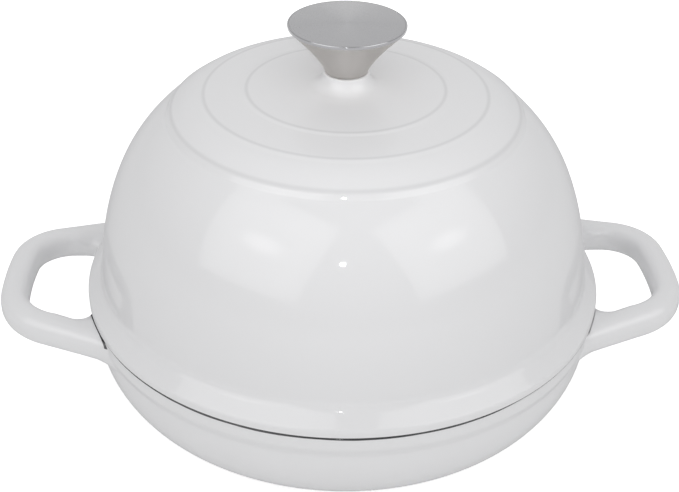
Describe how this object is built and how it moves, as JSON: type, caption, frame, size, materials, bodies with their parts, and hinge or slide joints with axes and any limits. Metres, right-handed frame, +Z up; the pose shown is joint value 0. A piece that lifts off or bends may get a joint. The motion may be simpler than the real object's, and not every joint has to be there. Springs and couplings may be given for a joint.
{
  "type": "dutch oven",
  "caption": "Low round enamelled cast-iron pan with cast loop handles, and a tall domed lid with stepped rings and a steel knob.",
  "frame": {"origin": "middle of the pan's flat foot, on the surface that it stands on", "axes": "+X along the line through both loop handles, +Y across it, +Z up along the lid's axis"},
  "size_m": [0.3394, 0.254, 0.1901],
  "materials": {
    "enamel": "glossy white vitreous enamel over cast iron",
    "knob_steel": "satin stainless steel, bright at the rim",
    "brushed_steel": "stainless steel brushed in circles",
    "fixing_steel": "plain stainless steel"
  },
  "bodies": {
    "base": {"base_pan": "enamel"},
    "lid": {"dome_lid": "enamel", "knob_body": "knob_steel", "knob_top": "brushed_steel", "knob_insert": "fixing_steel", "knob_screw": "fixing_steel", "flat_washer": "fixing_steel", "spring_washer": "fixing_steel"}
  },
  "joints": [
    {"name": "lid_lift", "type": "slide", "parent": "base", "child": "lid", "axis": [0, 0, 1], "range_m": [0, 0.15]}
  ]
}
